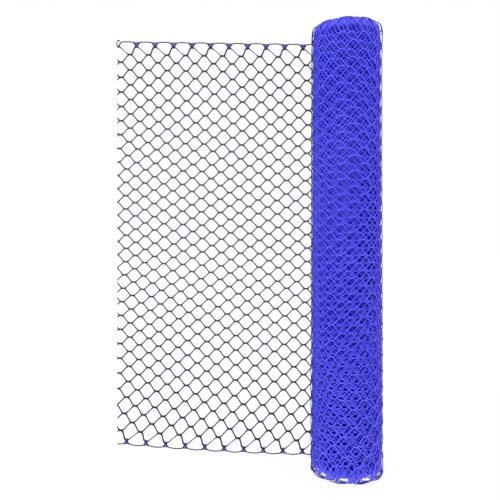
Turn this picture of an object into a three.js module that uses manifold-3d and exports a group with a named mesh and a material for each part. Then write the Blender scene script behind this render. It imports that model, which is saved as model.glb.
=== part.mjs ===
// Plastic fencing net: a roll standing on its end, and the flat stretch of diamond mesh
// that leaves the back of the roll. Millimetres, +Z up. The stretch runs along -X and its
// faces look along Y. The origin is at floor level, below the middle of the whole object.
import * as THREE from "three";
import { mergeVertices } from "three/addons/utils/BufferGeometryUtils.js";
import Module from "manifold-3d";

// The net
const NET_WIDTH = 1000; // from selvage to selvage, beside the roll
const ROWS = 56; // rows of crossings, each offset by half a cell from the one above
const CELL_WIDTH_TOP = 45; // from crossing to crossing along a row
const CELL_WIDTH_BOTTOM = 47.5;
const STRAND_WIDTH = 2.8;
const STRAND_THICKNESS = 2;
const CORD_WIDTH = 2.8; // the cord that runs along each selvage
const SELVAGE_DEPTH = 13.5; // from a selvage's edge to the first crossings below it
const SELVAGE_SHIFT = 7; // those crossings lag behind the next row by this much
const WEB_WIDTH_TOP = 15; // the web that spreads from each of them to the cord
const WEB_WIDTH_BOTTOM = 10;

// How the mesh is drawn out of square
const ROW_BIAS = -0.027; // shifts the middle rows towards one selvage
const ROW_SPREAD = 0.136; // opens the rows near both selvages
const ROW_SAG = 0.0106; // opens the lowest rows a little more
const SAG_POWER = 12; // how late down the net that opening starts
const BOTTOM_DRAG = 27; // how far the lowest row trails behind the others
const DRAG_POWER = 8; // how late down the net that trailing starts

// The stretch that is rolled out
const SHEET_REACH = 541.5; // from the roll's axis to the cut free end
const FIRST_COLUMN = 10; // from the roll's axis to the first column of crossings
const FREE_TOP_RISE = 8; // the cut end stands a little higher than the roll
const FREE_BOTTOM_RISE = 27; // and its foot is off the floor
const RISE_POWER = 1.8; // how late along the stretch the foot leaves the floor
const SHEET_SPLIT = SHEET_REACH / 2; // where the stretch is parted into two solids
const FOOT_STEPS = 14; // straight pieces that draw the curved foot

// The roll
const ROLL_RADIUS_FOOT = 81.6;
const ROLL_RADIUS_HEAD = 79.2;
const HEAD_PULL_IN = 2.2; // the uppermost edge is drawn in
const HEAD_PULL_HEIGHT = 34;
const BORE_RADIUS = 25;
const RINGS = 7; // bands of turns that show on each end
const GROOVE_WIDTH = 2;
const GROOVE_DEPTH = 2;
const ROLL_SIDES = 32;

const SEAT_GAP = 0.3; // clearance between solids that touch

// The roll's axis, seen from the middle of the whole object
const axisX = (SHEET_REACH - ROLL_RADIUS_FOOT) / 2;
const axisY = -(SEAT_GAP + STRAND_THICKNESS) / 2;

const plastic = (color) =>
  new THREE.MeshStandardMaterial({ color, roughness: 0.45, metalness: 0 });
const rollBlue = 0x4343d5;
const sheetBlue = 0x24246a;

const wasm = await Module();
wasm.setup();

function solidOf(geometry) {
  geometry.deleteAttribute("normal");
  geometry.deleteAttribute("uv");
  const merged = mergeVertices(geometry, 1e-4);
  return new wasm.Manifold(
    new wasm.Mesh({
      numProp: 3,
      vertProperties: merged.attributes.position.array,
      triVerts: new Uint32Array(merged.index.array),
    }),
  );
}

function geometryOf(solid) {
  const mesh = solid.getMesh();
  return new THREE.BufferGeometry()
    .setAttribute("position", new THREE.BufferAttribute(mesh.vertProperties, 3))
    .setIndex(new THREE.BufferAttribute(mesh.triVerts, 1));
}

// The height of the stretch's edges at a distance x from the roll's axis, x being negative
const topEdge = (x) => NET_WIDTH - (FREE_TOP_RISE * x) / SHEET_REACH;
const bottomEdge = (x) => FREE_BOTTOM_RISE * Math.max(-x / SHEET_REACH, 0) ** RISE_POWER;

const lastRow = ROWS - 1;
const isEdgeRow = (row) => row === 0 || row === lastRow;

// The place of a crossing. Rows count down from the top one, which is row 0. Columns count
// away from the roll, in half cells.
function crossing(column, row) {
  const share = row / lastRow;
  const halfCell = THREE.MathUtils.lerp(CELL_WIDTH_TOP, CELL_WIDTH_BOTTOM, share) / 2;
  const lag = BOTTOM_DRAG * share ** DRAG_POWER + (isEdgeRow(row) ? SELVAGE_SHIFT : 0);
  const x = FIRST_COLUMN - column * halfCell - lag;
  const bulge = share * (1 - share) * (ROW_BIAS + ROW_SPREAD * (1 - 2 * share));
  const down = share + bulge + ROW_SAG * (share ** SAG_POWER - share);
  const top = topEdge(x) - SELVAGE_DEPTH;
  const bottom = bottomEdge(x) + SELVAGE_DEPTH;
  return new THREE.Vector2(x, THREE.MathUtils.lerp(top, bottom, down));
}

// Draws each side of an anticlockwise outline in by its own distance
function drawnIn(corners, distances) {
  const sides = corners.map((corner, i) => {
    const along = corners[(i + 1) % corners.length].clone().sub(corner).normalize();
    const inward = new THREE.Vector2(-along.y, along.x);
    return { start: corner.clone().addScaledVector(inward, distances[i]), along };
  });
  return sides.map((side, i) => {
    const before = sides[(i + sides.length - 1) % sides.length];
    const gap = side.start.clone().sub(before.start);
    const reach = gap.cross(side.along) / before.along.cross(side.along);
    return before.start.clone().addScaledVector(before.along, reach);
  });
}

// An open diamond between four crossings
function diamond(column, row) {
  const corners = [
    crossing(column + 1, row),
    crossing(column, row + 1),
    crossing(column - 1, row),
    crossing(column, row - 1),
  ];
  return drawnIn(corners, corners.map(() => STRAND_WIDTH / 2));
}

// The opening between a selvage's cord, the webs on both sides and the next crossing
function edgeCell(column, row) {
  const left = crossing(column + 1, row);
  const right = crossing(column - 1, row);
  const inner = crossing(column, row === 0 ? 1 : row - 1);
  const edge = row === 0 ? topEdge : bottomEdge;
  const halfWeb = (row === 0 ? WEB_WIDTH_TOP : WEB_WIDTH_BOTTOM) / 2;
  const cordLeft = left.x + halfWeb;
  const cordRight = right.x - halfWeb;
  const corners = [
    left,
    inner,
    right,
    new THREE.Vector2(cordRight, edge(cordRight)),
    new THREE.Vector2(cordLeft, edge(cordLeft)),
  ];
  const half = STRAND_WIDTH / 2;
  if (row === 0) return drawnIn(corners, [half, half, half, CORD_WIDTH, half]);
  return drawnIn(corners.reverse(), [CORD_WIDTH, half, half, half, half]);
}

// The whole mesh as one plate with its cells open, a little longer than the stretch
function meshPlate() {
  const right = CELL_WIDTH_BOTTOM;
  const left = -SHEET_REACH - CELL_WIDTH_BOTTOM;
  const foot = Array.from({ length: FOOT_STEPS + 1 }, (_, i) => {
    const x = THREE.MathUtils.lerp(left, right, i / FOOT_STEPS);
    return new THREE.Vector2(x, bottomEdge(x));
  });
  const plate = new THREE.Shape([
    ...foot,
    new THREE.Vector2(right, topEdge(right)),
    new THREE.Vector2(left, topEdge(left)),
  ]);
  const inPlate = (outline) =>
    outline.every((corner) => corner.x > left + STRAND_WIDTH && corner.x < right - STRAND_WIDTH);
  const columns = Math.ceil((2 * (right - left)) / Math.min(CELL_WIDTH_TOP, CELL_WIDTH_BOTTOM));
  const firstColumn = -Math.ceil((2 * right) / CELL_WIDTH_TOP);
  for (let row = 0; row < ROWS; row++)
    for (let column = firstColumn; column <= columns; column++) {
      if ((column + row) % 2 === 0) continue;
      const outline = isEdgeRow(row) ? edgeCell(column, row) : diamond(column, row);
      if (inPlate(outline)) plate.holes.push(new THREE.Path(outline));
    }
  return new THREE.ExtrudeGeometry(plate, { depth: STRAND_THICKNESS, bevelEnabled: false })
    .rotateX(Math.PI / 2)
    .translate(0, ROLL_RADIUS_FOOT + SEAT_GAP + STRAND_THICKNESS, 0);
}

// A block that holds the stretch between two distances from the roll's axis
function blockBetween(near, far) {
  const depth = 4 * ROLL_RADIUS_FOOT;
  return new THREE.BoxGeometry(far - near, depth, 2 * NET_WIDTH).translate(
    -(near + far) / 2,
    0,
    NET_WIDTH / 2,
  );
}

function sheetMesh(name, mesh, near, far) {
  const stretch = mesh.intersect(solidOf(blockBetween(near, far)));
  const part = new THREE.Mesh(geometryOf(stretch), plastic(sheetBlue));
  part.name = name;
  return part;
}

// One end of the roll, from the bore outwards: flat bands with a groove between them
function endFace(radius, height, inward) {
  const band = (radius - BORE_RADIUS) / RINGS;
  const points = [new THREE.Vector2(BORE_RADIUS, height)];
  for (let ring = 1; ring < RINGS; ring++) {
    const middle = BORE_RADIUS + ring * band;
    points.push(
      new THREE.Vector2(middle - GROOVE_WIDTH / 2, height),
      new THREE.Vector2(middle, height + inward * GROOVE_DEPTH),
      new THREE.Vector2(middle + GROOVE_WIDTH / 2, height),
    );
  }
  points.push(new THREE.Vector2(radius, height));
  return points;
}

function rollMesh() {
  const foot = endFace(ROLL_RADIUS_FOOT, 0, 1);
  const head = endFace(ROLL_RADIUS_HEAD - HEAD_PULL_IN, NET_WIDTH, -1).reverse();
  const shoulder = new THREE.Vector2(ROLL_RADIUS_HEAD, NET_WIDTH - HEAD_PULL_HEIGHT);
  const profile = [...foot, shoulder, ...head, foot[0].clone()];
  const turned = new THREE.LatheGeometry(profile, ROLL_SIDES).rotateX(Math.PI / 2);
  const part = new THREE.Mesh(turned, plastic(rollBlue));
  part.name = "net_roll";
  return part;
}

const net = new THREE.Group();
const wholeMesh = solidOf(meshPlate());
net.add(rollMesh());
net.add(sheetMesh("net_sheet_by_roll", wholeMesh, 0, SHEET_SPLIT - SEAT_GAP / 2));
net.add(sheetMesh("net_sheet_free_end", wholeMesh, SHEET_SPLIT + SEAT_GAP / 2, SHEET_REACH));
net.position.set(axisX, axisY, 0);

export default net;
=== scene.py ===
import math
import bmesh
import bpy
import numpy as np
from mathutils import Matrix, Vector


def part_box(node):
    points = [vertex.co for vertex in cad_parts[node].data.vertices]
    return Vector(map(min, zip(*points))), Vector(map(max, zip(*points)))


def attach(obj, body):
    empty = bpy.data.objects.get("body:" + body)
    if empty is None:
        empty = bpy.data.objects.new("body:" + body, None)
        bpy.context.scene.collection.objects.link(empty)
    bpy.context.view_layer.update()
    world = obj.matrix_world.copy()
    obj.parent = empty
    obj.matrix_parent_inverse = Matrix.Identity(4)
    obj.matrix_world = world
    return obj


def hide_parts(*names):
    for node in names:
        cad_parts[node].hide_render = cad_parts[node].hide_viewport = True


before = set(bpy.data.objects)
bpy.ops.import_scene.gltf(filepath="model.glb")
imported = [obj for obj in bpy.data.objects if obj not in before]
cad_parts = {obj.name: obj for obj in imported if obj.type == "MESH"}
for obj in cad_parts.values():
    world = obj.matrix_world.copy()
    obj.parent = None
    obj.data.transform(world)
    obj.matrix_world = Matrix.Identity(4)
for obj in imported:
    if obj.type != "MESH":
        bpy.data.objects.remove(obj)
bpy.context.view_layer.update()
print("frame loaded")

# Measures taken from the frame, in metres
rollLow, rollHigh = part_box("net_roll")
nearLow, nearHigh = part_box("net_sheet_by_roll")
farLow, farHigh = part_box("net_sheet_free_end")
rollAxis = (rollLow + rollHigh) / 2
netWidth = rollHigh.z
footRadius = (rollHigh.x - rollLow.x) / 2
sheetDepth = (nearLow.y + nearHigh.y) / 2 - rollAxis.y  # the stretch's middle plane, behind the axis
reach = rollAxis.x - farLow.x  # from the roll's axis to the cut end

# The lattice of the net
netPlan = {
    "rows": 56,  # of crossings, each offset by half a cell
    "cellWidthTop": 0.045,
    "cellWidthBottom": 0.0475,
    "rollCellStretch": 1.045,  # winding draws the cells out a little
    "rollCellSpread": 0.006,  # how much wider cells are at the foot of the roll than at its head
    "selvageDepth": 0.0135,  # from a selvage's edge to its junctions
    "selvageShift": (0.007, 0.005),  # how far those lag behind, at the head and at the foot
    "rowBias": -0.027,  # shifts the middle rows towards one selvage
    "rowSpread": 0.136,  # opens the rows near both selvages
    "rowSag": 0.0106,  # opens the lowest rows a little more
    "sagPower": 12,
    "bottomDrag": 0.025,  # how far the lowest row trails behind the others
    "dragPower": 8,
    "dragFade": 20,  # half cells into the roll, over which that drag fades
    "firstColumn": 0.010,  # from the roll's axis to the first column
    "freeTopRise": 0.008,  # the cut end stands a little higher than the roll
    "freeBottomRise": 0.027,  # and its foot is off the floor
    "risePower": 1.8,
    "sway": 0.003,  # slow sideways wave down the net
    "swayRows": 20,
    "swayStart": 9.5,
    "weld": 0.00002,  # ends of strands this close are one
}
lastRow = netPlan["rows"] - 1
halfCell = (netPlan["cellWidthTop"] + netPlan["cellWidthBottom"]) / 4
rowStep = (netWidth - 2 * netPlan["selvageDepth"]) / lastRow


def mix(a, b, share):
    return a + (b - a) * share


def smooth(t):
    t = np.clip(t, 0, 1)
    return t * t * (3 - 2 * t)


def laidOut(along, down):
    # from the even lattice to the net as it hangs: distance from the axis, and height
    plan = netPlan
    row = np.clip(down / rowStep, 0, lastRow)
    share = row / lastRow
    column = along / halfCell
    half = mix(plan["cellWidthTop"], plan["cellWidthBottom"], share) / 2
    rollHalf = halfCell * (plan["rollCellStretch"] + plan["rollCellSpread"] * (share - 0.5))
    half = np.where(column < 0, rollHalf, half)
    shiftTop, shiftBottom = plan["selvageShift"]
    shift = shiftTop * np.clip(1 - row, 0, 1) + shiftBottom * np.clip(row - lastRow + 1, 0, 1)
    sway = plan["sway"] * np.cos(2 * np.pi * (row - plan["swayStart"]) / plan["swayRows"])
    drag = plan["bottomDrag"] * np.exp(np.minimum(column, 0) / plan["dragFade"])
    lag = drag * share ** plan["dragPower"] + shift
    distance = column * half - plan["firstColumn"] + lag - sway
    out = np.maximum(distance, 0) / reach
    bulge = share * (1 - share)
    fall = share + bulge * (plan["rowBias"] + plan["rowSpread"] * (1 - 2 * share))
    fall = fall + plan["rowSag"] * (share ** plan["sagPower"] - share)
    top = netWidth + plan["freeTopRise"] * out - plan["selvageDepth"]
    bottom = plan["freeBottomRise"] * out ** plan["risePower"] + plan["selvageDepth"]
    beyond = np.maximum(-down, 0) - np.maximum(down - lastRow * rowStep, 0)
    return distance, mix(top, bottom, fall) + beyond, share


# How the net winds on to the roll
windPlan = {
    "turns": 42,
    "boreRadius": 0.026,  # to the middle of the innermost turn
    "headRadius": 0.0792,
    "headPullIn": 0.0022,
    "headPullHeight": 0.034,
    "strandHalf": 0.001,
    "samples": 8000,  # of the winding's length
    "tightening": 1.3,  # the outer turns lie closer than the inner ones; 1 is even
    "turnCells": 10.37,  # cells round each of the outer turns
    "evenTurns": (8, 6),  # how many turns keep to that, and over how many it ends
    "slack": 0.0022,  # how far the outermost turn stands off the others
    "slackTurns": (0.8, 0.5),  # up to where it does so, and over how many turns that ends
    "looseTurns": 0.5,  # over which the net takes up the roll's slip and ripple
    "leaveTurns": 0.16,  # over which the outermost turn swings out to the stretch
    "headDrop": 0.004,  # the turns below the outermost one end a little lower at the head
    "headDropTurns": 5,
    "footStep": 0.0012,  # each of the outer turns ends this much above the one outside it
    "footTurns": (2.5, 2),  # how many turns do so, and over how many that ends
    "footLift": 0.0135,  # and the turns behind those end this high
    "footRest": 0.0015,  # but the ones near the bore are low again
    "restTurns": (14, 8),  # where that starts, and over how many turns
    "slip": 0.0024,  # turns lie a little higher or lower than each other
    "slipWaves": (2.3, 5.1),
    "slipEdge": 0.1,  # share of the net over which that fades at each selvage
    "ripple": 0.0005,
    "rippleWaves": (3, 9, 14, 1.7),
    "loopReach": 0.0035,  # a loose loop of the outermost turn at the head
    "loopTurn": 0.27,
    "loopTurns": 0.06,
    "loopShare": 0.03,  # how far down the net it reaches
}


def past(value, limits):
    # 0 up to the first limit, and then rising to 1 over the second
    return smooth((value - limits[0]) / limits[1])


def outerRadius(height):
    plan = windPlan
    taper = mix(footRadius, plan["headRadius"], height / (netWidth - plan["headPullHeight"]))
    drawn = smooth((height - netWidth + plan["headPullHeight"]) / plan["headPullHeight"])
    return taper - plan["headPullIn"] * drawn - plan["strandHalf"]


def turnRadius(turn, height):
    plan = windPlan
    outer = outerRadius(height)
    packed = mix(outer - plan["slack"], plan["boreRadius"], (turn / plan["turns"]) ** plan["tightening"])
    loose = plan["slack"] * (1 - past(turn, plan["slackTurns"]))
    leaving = (sheetDepth - outer) * (1 - smooth(turn / plan["leaveTurns"]))
    return packed + loose + leaving


windTurns = np.linspace(0, windPlan["turns"] + 3, windPlan["samples"])  # a few turns to spare
windRadii = mix(
    windPlan["turnCells"] * halfCell * netPlan["rollCellStretch"] / np.pi,
    turnRadius(windTurns, netWidth / 2),
    past(windTurns, windPlan["evenTurns"]),
)
windStep = windTurns[1] * 2 * np.pi
windLength = np.concatenate([[0], np.cumsum((windRadii[1:] + windRadii[:-1]) / 2 * windStep)])


def windOn(distance, height, share, outward):
    # from the laid out net to its place, on the stretch or round the roll
    plan = windPlan
    turn = np.interp(-distance, windLength, windTurns)
    angle = turn * 2 * np.pi
    inRoll = smooth(turn / plan["looseTurns"])
    around, down, across, onward = plan["rippleWaves"]
    ripple = plan["ripple"] * np.sin(around * angle + down * share) * np.sin(across * share + onward * turn)
    loop = np.exp(-((turn - plan["loopTurn"]) / plan["loopTurns"]) ** 2 - share / plan["loopShare"])
    radius = turnRadius(turn, height) + inRoll * ripple + plan["loopReach"] * loop + outward
    slow, quick = plan["slipWaves"]
    slip = plan["slip"] * (np.sin(slow * turn) + np.sin(quick * turn + 1) / 2)
    lift = mix(plan["footStep"] * turn, plan["footLift"], past(turn, plan["footTurns"]))
    lift = mix(lift, plan["footRest"], past(turn, plan["restTurns"]))
    drop = plan["headDrop"] * (1 - np.exp(-turn / plan["headDropTurns"]))
    edge = plan["slipEdge"]
    between = smooth(share / edge) * smooth((1 - share) / edge)  # 0 at both selvages
    height = height + inRoll * (slip * between + lift * share ** 2 - drop * (1 - share) ** 4)
    x = np.where(distance > 0, -distance, radius * np.sin(angle))
    y = np.where(distance > 0, sheetDepth + outward, radius * np.cos(angle))
    return rollAxis.x + x, rollAxis.y + y, height, turn


# Shader nodes written as maths
class Socket:
    def __init__(self, tree, link):
        self.tree = tree
        self.link = link

    def plug(self, socket, value):
        if isinstance(value, Socket):
            self.tree.links.new(value.link, socket)
        else:
            socket.default_value = value

    def add(self, kind, settings=None, output=0, **inputs):
        node = self.tree.nodes.new(kind)
        for name, value in (settings or {}).items():
            setattr(node, name, value)
        for name, value in inputs.items():
            key = int(name[2:]) if name.startswith("in") else name
            self.plug(node.inputs[key], value)
        return Socket(self.tree, node.outputs[output])

    def maths(self, operation, a, b):
        return self.add("ShaderNodeMath", {"operation": operation}, in0=a, in1=b)

    def __add__(self, other):
        return self.maths("ADD", self, other)

    __radd__ = __add__

    def __mul__(self, other):
        return self.maths("MULTIPLY", self, other)

    __rmul__ = __mul__


def newMaterial(name):
    material = bpy.data.materials.new(name)
    material.use_nodes = True
    shader = material.node_tree.nodes["Principled BSDF"]
    return material, shader, Socket(material.node_tree, None)


def blended(nodes, share, a, b):
    return nodes.add("ShaderNodeMix", {"data_type": "RGBA"}, output=2, in0=share, in6=a, in7=b)


plasticPlan = {
    "bright": (0.155, 0.155, 0.98, 1),
    "brightDeep": (0.07, 0.07, 0.90, 1),
    # shaded and shadedDeep are painted shade: the same blue painted darker for the inner turns, which the
    # outer turns shade
    "shaded": (0.008, 0.008, 0.74, 1),
    "shadedDeep": (0.003, 0.003, 0.58, 1),
    # navy and navyShadePale are painted shade: the net is one blue plastic, painted dark navy where it
    # hangs in its own shade against the light behind it
    "navyShade": (0.015, 0.010, 0.050, 1),
    "navyShadePale": (0.026, 0.019, 0.085, 1),
    "web": (0.20, 0.18, 0.60, 1),
    "webDark": (0.045, 0.04, 0.26, 1),
    "patches": (9.0, 2.0),  # scale and detail
    "grain": (260.0, 1.0),
    "patchShare": 0.7,
    "roughness": 0.42,
    "roughnessRange": 0.16,
    "specular": 0.3,
    "stretchSpecular": 0.1,
}


def noise(nodes, place, scale, detail):
    settings = {"noise_dimensions": "3D"}
    return nodes.add("ShaderNodeTexNoise", settings, Vector=place, Scale=scale, Detail=detail)


def plasticMaterial(name, pairs, specular=plasticPlan["specular"]):
    # pairs: one pair of colours, or two for the painted shade and the lit ends of the piece's painted light
    # attribute
    plan = plasticPlan
    material, shader, nodes = newMaterial(name)
    place = nodes.add("ShaderNodeTexCoord", output=3)
    patches = noise(nodes, place, *plan["patches"])
    grain = noise(nodes, place, *plan["grain"])
    speckle = patches * plan["patchShare"] + grain * (1 - plan["patchShare"])
    colours = [blended(nodes, speckle, *pair) for pair in pairs]
    colour = colours[0]
    if len(colours) > 1:
        tone = nodes.add("ShaderNodeAttribute", {"attribute_name": "tone"}, output=2)
        colour = blended(nodes, tone, colours[0], colours[1])
    nodes.plug(shader.inputs["Base Color"], colour)
    least = plan["roughness"] - plan["roughnessRange"] / 2
    nodes.plug(shader.inputs["Roughness"], grain * plan["roughnessRange"] + least)
    shader.inputs["Specular IOR Level"].default_value = specular
    return material


navyShadePair = (plasticPlan["navyShade"], plasticPlan["navyShadePale"])
brightPair = (plasticPlan["brightDeep"], plasticPlan["bright"])
shadedPair = (plasticPlan["shadedDeep"], plasticPlan["shaded"])
webPair = (plasticPlan["webDark"], plasticPlan["web"])
materials = {
    # the stretch is painted all over in the navy painted shade
    "stretch": plasticMaterial("stretchShadePlastic", [navyShadePair], plasticPlan["stretchSpecular"]),
    "web": plasticMaterial("webPlastic", [webPair]),
    # the outer turns are painted from the navy painted shade at the back and sides to the lit blue in front
    "outer": plasticMaterial("outerTurnPlastic", [navyShadePair, brightPair]),
    "roll": plasticMaterial("rollPlastic", [brightPair]),
    # the inner turns are painted in the darker painted shade
    "rollDeepShade": plasticMaterial("rollDeepShadePlastic", [shadedPair]),
}
print("materials ready")


# One strand, drawn as a tube from station to station
strandPlan = {
    "barHalf": 0.0042,  # strands run level for this long on both sides of a crossing
    "halfWidth": 0.0014,
    "halfDepth": 0.0009,
    "barHalfWidth": 0.0021,
    "barHalfDepth": 0.0011,
    "barStep": 0.8,  # where the bar has a ring of its own, as a share of its half length
    "barEase": 0.6,  # and where the strand starts to climb
    "swellReach": 1.9,  # how far from the crossing the strand is still thicker
    "swellPower": 0.7,
    "side": 0.0004,  # one family of strands lies this far in front of the other
    "bend": 0.6,  # 0 is straight from bar to bar, 1 a full S
    "heavy": 1.05,  # of the two strands that meet at a selvage one is heavy and one is fine
    "fine": 0.85,
}


def stationPose(station):
    # where a circle of radius 1 goes to become the strand's section at that station
    along, outward, up, angle, halfWidth, halfDepth = station
    upright = Matrix.Rotation(math.pi / 2, 4, "Y")
    size = Matrix.Diagonal((1, halfDepth, halfWidth, 1))
    return Matrix.Translation((along, outward, up)) @ Matrix.Rotation(-angle, 4, "Y") @ size @ upright


def drawTube(bm, stations, sides, capped=False):
    ring = bmesh.ops.create_circle(bm, segments=sides, radius=1, matrix=stationPose(stations[0]))
    first = list({edge for vert in ring["verts"] for edge in vert.link_edges})
    edges = first
    for before, after in zip(stations, stations[1:]):
        grown = bmesh.ops.extrude_edge_only(bm, edges=edges)["geom"]
        verts = [part for part in grown if isinstance(part, bmesh.types.BMVert)]
        edges = [part for part in grown if isinstance(part, bmesh.types.BMEdge) and part.is_boundary]
        step = stationPose(after) @ stationPose(before).inverted()
        bmesh.ops.transform(bm, matrix=step, verts=verts)
    if capped:
        bmesh.ops.holes_fill(bm, edges=first + edges, sides=0)


def withAngles(points):
    # adds to each point the slope of the line through its neighbours, level at both ends
    stations = []
    for i, (along, outward, up, halfWidth, halfDepth) in enumerate(points):
        before, after = points[max(i - 1, 0)], points[min(i + 1, len(points) - 1)]
        angle = math.atan2(after[2] - before[2], after[0] - before[0])
        if i in (0, len(points) - 1):
            angle = 0
        stations.append((along, outward, up, angle, halfWidth, halfDepth))
    return stations


def strandPoints(start, end, sideStart, sideEnd, steps, slim, weight):
    # from crossing to crossing, both given as column and row
    plan = strandPlan
    width = (end[0] - start[0]) * halfCell
    height = (start[1] - end[1]) * rowStep
    bar = plan["barHalf"]
    inner = [bar + (width - 2 * bar) * (i + 0.5) / steps for i in range(steps)]
    points = []
    ring, ease, reachOut = bar * plan["barStep"], bar * plan["barEase"], bar * plan["swellReach"]
    stops = [0, ring, *inner, width - ring, width] if steps else [0, width]
    for along in stops:
        t = min(max((along - ease) / (width - 2 * ease), 0), 1)
        eased = mix(t, t * t * (3 - 2 * t), plan["bend"])
        swell = max(0, 1 - min(along, width - along) / reachOut) ** plan["swellPower"]
        points.append((
            start[0] * halfCell + along,
            mix(sideStart, sideEnd, t),
            -start[1] * rowStep + height * eased,
            slim * mix(plan["halfWidth"] * weight, plan["barHalfWidth"], swell),
            mix(plan["halfDepth"], plan["barHalfDepth"], swell),
        ))
    return points


def drawStrand(bm, crossings, sides, steps, turned, slim, weights=(1, 1)):
    # a strand through several crossings; its side changes where turned says so
    side = strandPlan["side"]
    points = []
    for i, (start, end) in enumerate(zip(crossings, crossings[1:])):
        leg = strandPoints(start, end, side * turned[i], side * turned[i + 1], steps, slim, weights[i])
        points += leg if not points else leg[1:]
    drawTube(bm, withAngles(points), sides)


# The selvage: a cord that arches from junction to junction, and the web between two arches
selvagePlan = {
    "cordHalf": 0.00135,
    "footHalf": 0.0016,
    "start": 0.0016,  # the arch leaves its junction this far from the middle
    "corner": (0.011, 0.009),  # and is level from here on, at the head and at the foot
    "legs": (1.0, 1.9),  # how upright it leaves the junction
    "legPower": 1.4,  # gathers its rings near the junction
    "startAngle": 1.2,  # of its first and last ring
    "bow": (0.18, 0.34),  # how much of its height is one slow curve from end to end
    "webHalfDepth": 0.0004,
    "webHeights": (0, 0.25, 0.5, 0.75, 0.93),
    "webTip": (0.001, 0.0035),  # the web ends this wide and this far beyond the junction
}


def drawSelvage(bm, junction, upwards, sides, steps, slim):
    # everything beyond one junction, as far as the next one along the edge
    plan = selvagePlan
    place = 0 if upwards > 0 else 1
    corner, legs, bow = plan["corner"][place], plan["legs"][place], plan["bow"][place]
    rise = netPlan["selvageDepth"] - plan["cordHalf"]
    baseAlong, baseUp = junction[0] * halfCell, -junction[1] * rowStep
    leg = []
    for i in range(steps + 1):
        share = (i / steps) ** plan["legPower"]
        x = mix(plan["start"], corner, share)
        curve = 1 - (1 - x / halfCell) ** 2
        reached = mix((1 - (1 - share) ** 2) ** (1 / legs), curve, bow)
        half = mix(plan["footHalf"], plan["cordHalf"], share)
        leg.append((x, baseUp + upwards * rise * reached, half))
    points = [(baseAlong + x, 0, z, half, half) for x, z, half in leg]
    points.append((baseAlong + halfCell, 0, baseUp + upwards * rise, plan["cordHalf"], plan["cordHalf"]))
    points += [(baseAlong + 2 * halfCell - x, 0, z, half, half) for x, z, half in reversed(leg)]
    stations = withAngles(points)
    angle = upwards * plan["startAngle"]
    stations[0] = (*stations[0][:3], angle, *stations[0][4:])
    stations[-1] = (*stations[-1][:3], -angle, *stations[-1][4:])
    drawTube(bm, stations, sides, capped=True)

    tipHalf, tipReach = plan["webTip"]
    side = [(tipHalf * slim, -tipReach)]
    for h in plan["webHeights"]:
        x = mix(plan["start"], corner, 1 - (1 - h ** legs) ** 0.5)
        side.append((x * slim, rise * mix(h, 1 - (1 - x / halfCell) ** 2, bow)))
    side.append((side[-1][0], side[-1][1] + plan["cordHalf"]))
    outline = side + [(-x, z) for x, z in reversed(side)]
    front = -plan["webHalfDepth"]
    face = bm.faces.new([bm.verts.new((baseAlong + x, front, baseUp + upwards * z)) for x, z in outline])
    face.material_index = 1
    back = bmesh.ops.extrude_face_region(bm, geom=[face])["geom"]
    moved = [part for part in back if isinstance(part, bmesh.types.BMVert)]
    bmesh.ops.translate(bm, verts=moved, vec=(0, -2 * front, 0))
    for vert in moved:
        for webFace in vert.link_faces:
            webFace.material_index = 1


def columnOfNet(detail):
    # one column of cells from selvage to selvage, in the even lattice
    sides, steps, archSteps, slim = detail
    bm = bmesh.new()
    heavy, fine = strandPlan["heavy"], strandPlan["fine"]
    drawStrand(bm, [(0, 2), (1, 3), (2, 4)], sides, steps, (1, 1, 1), slim)
    drawStrand(bm, [(0, 4), (1, 3), (2, 2)], sides, steps, (-1, -1, -1), slim)
    tile = bm.verts[:] + bm.edges[:] + bm.faces[:]
    for pair in range(1, lastRow // 2 - 1):
        copy = bmesh.ops.duplicate(bm, geom=tile)["geom"]
        verts = [part for part in copy if isinstance(part, bmesh.types.BMVert)]
        bmesh.ops.translate(bm, verts=verts, vec=(0, 0, -2 * pair * rowStep))
    drawStrand(bm, [(0, 0), (1, 1), (2, 2)], sides, steps, (1, 1, 1), slim, (heavy, 1))
    drawStrand(bm, [(0, 2), (1, 1), (2, 0)], sides, steps, (-1, -1, -1), slim, (1, fine))
    lowest = [(0, lastRow - 1), (1, lastRow), (2, lastRow - 1)]
    drawStrand(bm, lowest, sides, steps, (1, 0, -1), slim, (fine, heavy))
    drawSelvage(bm, (0, 0), 1, sides, archSteps, slim)
    drawSelvage(bm, (1, lastRow), -1, sides, archSteps, slim)
    return bm


def repeated(bm, first, count):
    # the column repeated along the net, welded strand to strand
    mesh = bpy.data.meshes.new("column")
    bm.to_mesh(mesh)
    bm.free()
    holder = bpy.data.objects.new("column", mesh)
    bpy.context.scene.collection.objects.link(holder)
    array = holder.modifiers.new("columns", "ARRAY")
    array.count = count
    array.use_relative_offset = False
    array.use_constant_offset = True
    array.constant_offset_displace = (2 * halfCell, 0, 0)
    array.use_merge_vertices = True
    array.merge_threshold = netPlan["weld"]
    ready = holder.evaluated_get(bpy.context.evaluated_depsgraph_get())
    made = bpy.data.meshes.new_from_object(ready)
    bpy.data.objects.remove(holder)
    bpy.data.meshes.remove(mesh)
    made.transform(Matrix.Translation((first * halfCell, 0, 0)))
    return made


def placesOf(mesh):
    flat = np.empty(len(mesh.vertices) * 3)
    mesh.vertices.foreach_get("co", flat)
    return flat.reshape(-1, 3).T


def moveTo(mesh, x, y, z):
    mesh.vertices.foreach_set("co", np.stack([x, y, z], axis=1).ravel())


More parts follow.
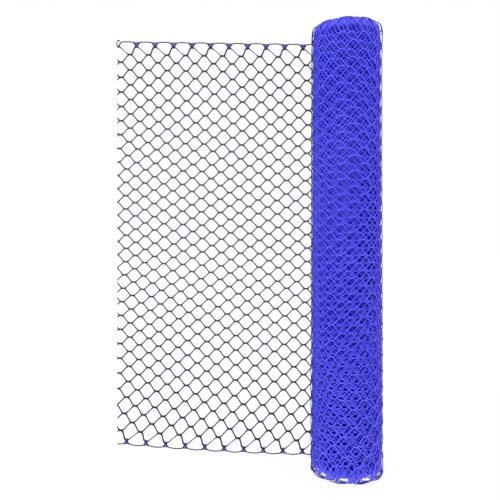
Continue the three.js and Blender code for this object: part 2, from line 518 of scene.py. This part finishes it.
def cutEnd(bm, cutAt):
    # the corner has curled out of its web, so the web there goes too
    everything = bm.verts[:] + bm.edges[:] + bm.faces[:]
    along = (1, 0, 0)
    bmesh.ops.bisect_plane(bm, geom=everything, plane_co=(cutAt, 0, 0), plane_no=along, clear_outer=True)
    webs = [(face, face.calc_center_median()) for face in bm.faces if face.material_index == 1]
    nearCut = cutAt - netPlan["selvageDepth"]
    lost = [face for face, middle in webs if middle.x > nearCut and middle.z > netWidth / 2]
    bmesh.ops.delete(bm, geom=lost, context="FACES")


# Painted light and shade on the outer turns, read by their material
tonePlan = {
    "front": (0.2, 0.35),  # from where, in front of the axis, the outermost turn is painted lit instead of in painted shade
    "headEdge": (0.0035, 0.0015),  # its cord is painted in shade this near the head
    "headTurns": 1.5,
    "footEdge": (0.0042, 0.001),  # and every cord this near the floor is painted in shade too
    # how far those cords are painted towards the navy painted shade
    "edgeDark": 0.9,
}


def toneOf(turn, y, height):
    # painted light and shade: 1 is a strand painted as in full light, 0 one painted in shade against it
    plan = tonePlan
    front = np.clip((rollAxis.y - y) / footRadius, -1, 1)  # 1 at the front of the roll, -1 at its back
    headReach, headBlend = plan["headEdge"]
    footReach, footBlend = plan["footEdge"]
    headEdge = smooth((height - netWidth + headReach) / headBlend) * (turn < plan["headTurns"])
    footEdge = smooth((footReach - height) / footBlend)
    edges = 1 - plan["edgeDark"] * np.maximum(headEdge, footEdge)
    return np.where(turn > 1, 1, past(front, plan["front"])) * edges


def netPiece(name, firstColumn, columns, detail, pieceMaterials, nodes, cutAt=None):
    made = repeated(columnOfNet(detail), firstColumn, columns)
    along, outward, up = placesOf(made)
    distance, height, share = laidOut(along, -up)
    moveTo(made, distance, outward, height)
    made.attributes.new("share", "FLOAT", "POINT").data.foreach_set("value", share)

    bm = bmesh.new()
    bm.from_mesh(made)
    if cutAt is not None:
        cutEnd(bm, cutAt)
    bmesh.ops.remove_doubles(bm, verts=bm.verts[:], dist=netPlan["weld"])
    bmesh.ops.holes_fill(bm, edges=[edge for edge in bm.edges if edge.is_boundary], sides=0)
    bm.to_mesh(made)
    bm.free()

    distance, outward, height = placesOf(made)
    share = np.empty(len(made.vertices))
    made.attributes["share"].data.foreach_get("value", share)
    made.attributes.remove(made.attributes["share"])
    x, y, z, turn = windOn(distance, height, share, outward)
    moveTo(made, x, y, z)
    # painted light and shade, kept on each point
    made.attributes.new("tone", "FLOAT", "POINT").data.foreach_set("value", toneOf(turn, y, height))

    bm = bmesh.new()
    bm.from_mesh(made)
    bmesh.ops.recalc_face_normals(bm, faces=bm.faces[:])
    bm.to_mesh(made)
    bm.free()
    made.shade_smooth()
    for material in pieceMaterials:
        made.materials.append(material)
    piece = bpy.data.objects.new(name, made)
    bpy.context.scene.collection.objects.link(piece)
    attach(piece, "root")
    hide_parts(*nodes)
    triangles = sum(len(face.vertices) - 2 for face in made.polygons)
    print(name, "has", triangles, "triangles")


stretchPlan = {
    "split": 12,  # half cells in the piece next to the roll
    "detail": (8, 5, 4, 1),  # sides, steps of a strand, steps of an arch, share of the full width
}
split, stretchDetail = stretchPlan["split"], stretchPlan["detail"]
stretchColumns = math.ceil((reach + netPlan["firstColumn"]) / halfCell / 2 + 1)
stretchMaterials = [materials["stretch"], materials["web"]]
netPiece("stretchByRoll", 0, split // 2, stretchDetail, stretchMaterials, ["net_sheet_by_roll"])
netPiece(
    "stretchFreeEnd",
    split,
    stretchColumns - split // 2,
    stretchDetail,
    stretchMaterials,
    ["net_sheet_free_end"],
    cutAt=reach,
)

curlPlan = {
    "middle": (0.003, 0.0068),  # inwards from the cut end, and down from its top
    "halfWidth": 0.0042,
    "halfHeight": 0.0085,
    "turnFrom": 0.25 * math.pi,
    "turnTo": 1.75 * math.pi,
    "stations": 13,
    "sides": 8,
    "tubeHalf": 0.0013,
}


def drawCurl():
    # the cut corner of the net, curled round on itself
    plan = curlPlan
    bm = bmesh.new()
    half = plan["tubeHalf"]
    stations = []
    for angle in np.linspace(plan["turnFrom"], plan["turnTo"], plan["stations"]):
        x = farLow.x + plan["middle"][0] + plan["halfWidth"] * math.cos(angle)
        z = farHigh.z - plan["middle"][1] + plan["halfHeight"] * math.sin(angle)
        stations.append((x, rollAxis.y + sheetDepth, z, angle + math.pi / 2, half, half))
    drawTube(bm, stations, plan["sides"], capped=True)
    bmesh.ops.recalc_face_normals(bm, faces=bm.faces[:])
    mesh = bpy.data.meshes.new("curledCorner")
    bm.to_mesh(mesh)
    bm.free()
    mesh.shade_smooth()
    mesh.materials.append(materials["stretch"])
    curl = bpy.data.objects.new("curledCorner", mesh)
    bpy.context.scene.collection.objects.link(curl)
    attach(curl, "root")
    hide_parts("net_sheet_free_end")


drawCurl()
print("corner curled")

rollPlan = [
    # name, turn it ends at, detail as for the stretch, material
    ("outermostTurns", 1.5, (6, 4, 3, 0.6), "outer"),
    ("outerTurns", 4, (5, 2, 3, 0.48), "outer"),
    ("nearTurns", 7, (4, 1, 2, 0.46), "roll"),
    # the middle and inner turns carry painted shade
    ("middleTurns", 11, (4, 1, 2, 0.65), "rollDeepShade"),
    ("innerTurns", windPlan["turns"], (3, 0, 2, 0.65), "rollDeepShade"),
]
columnsDone = 0
rollCell = 2 * halfCell * netPlan["rollCellStretch"]
for name, lastTurn, detail, finish in rollPlan:
    length = np.interp(lastTurn, windTurns, windLength)
    columnsUntil = round(length / rollCell)
    columns = columnsUntil - columnsDone
    netPiece(name, -2 * columnsUntil, columns, detail, [materials[finish]] * 2, ["net_roll"])
    columnsDone = columnsUntil
print("net wound,", round(float(length) + reach, 2), "m in all")


# Floor, light and camera
studioPlan = {
    "floorSize": 60,
    "white": (1, 1, 1, 1),
    "floorGlow": 0.88,
    "worldGlow": 1.0,
    "floorShade": (0.1, 0.1, 0.1, 1),
    "floorRoughness": 0.9,
    "keyEnergy": 31,
    "keySize": 1.6,
    "keyPlace": (-1.3, -2.1, 1.6),
    "keyAim": (0.1, 0, 0.5),
    "cameraSide": -0.219,  # from the roll's axis
    "cameraBack": 1.2105,
    "cameraHeight": 0.5,
    "lens": 38.3,
    "sensor": 36,
}


def buildStudio():
    plan = studioPlan
    bm = bmesh.new()
    bmesh.ops.create_grid(bm, x_segments=1, y_segments=1, size=plan["floorSize"] / 2)
    mesh = bpy.data.meshes.new("floor")
    bm.to_mesh(mesh)
    bm.free()
    floor = bpy.data.objects.new("floor", mesh)
    bpy.context.scene.collection.objects.link(floor)
    material, shader, nodes = newMaterial("floorWhite")
    shader.inputs["Base Color"].default_value = plan["floorShade"]
    shader.inputs["Emission Color"].default_value = plan["white"]
    shader.inputs["Emission Strength"].default_value = plan["floorGlow"]
    shader.inputs["Roughness"].default_value = plan["floorRoughness"]
    mesh.materials.append(material)

    world = bpy.data.worlds.new("studioWorld")
    bpy.context.scene.world = world
    world.use_nodes = True
    world.node_tree.nodes["Background"].inputs["Color"].default_value = plan["white"]
    world.node_tree.nodes["Background"].inputs["Strength"].default_value = plan["worldGlow"]

    lamp = bpy.data.lights.new("key", "AREA")
    lamp.energy = plan["keyEnergy"]
    lamp.size = plan["keySize"]
    key = bpy.data.objects.new("key", lamp)
    key.location = plan["keyPlace"]
    aim = Vector(plan["keyAim"]) - key.location
    key.rotation_mode = "QUATERNION"
    key.rotation_quaternion = aim.to_track_quat("-Z", "Y")
    bpy.context.scene.collection.objects.link(key)

    lens = bpy.data.cameras.new("camera")
    lens.lens = plan["lens"]
    lens.sensor_width = plan["sensor"]
    camera = bpy.data.objects.new("camera", lens)
    side, back = rollAxis.x + plan["cameraSide"], rollAxis.y - plan["cameraBack"]
    camera.location = (side, back, plan["cameraHeight"])
    camera.rotation_euler = (math.pi / 2, 0, 0)
    bpy.context.scene.collection.objects.link(camera)
    bpy.context.scene.camera = camera
    bpy.context.scene.view_settings.view_transform = "Standard"


buildStudio()
print("studio ready")
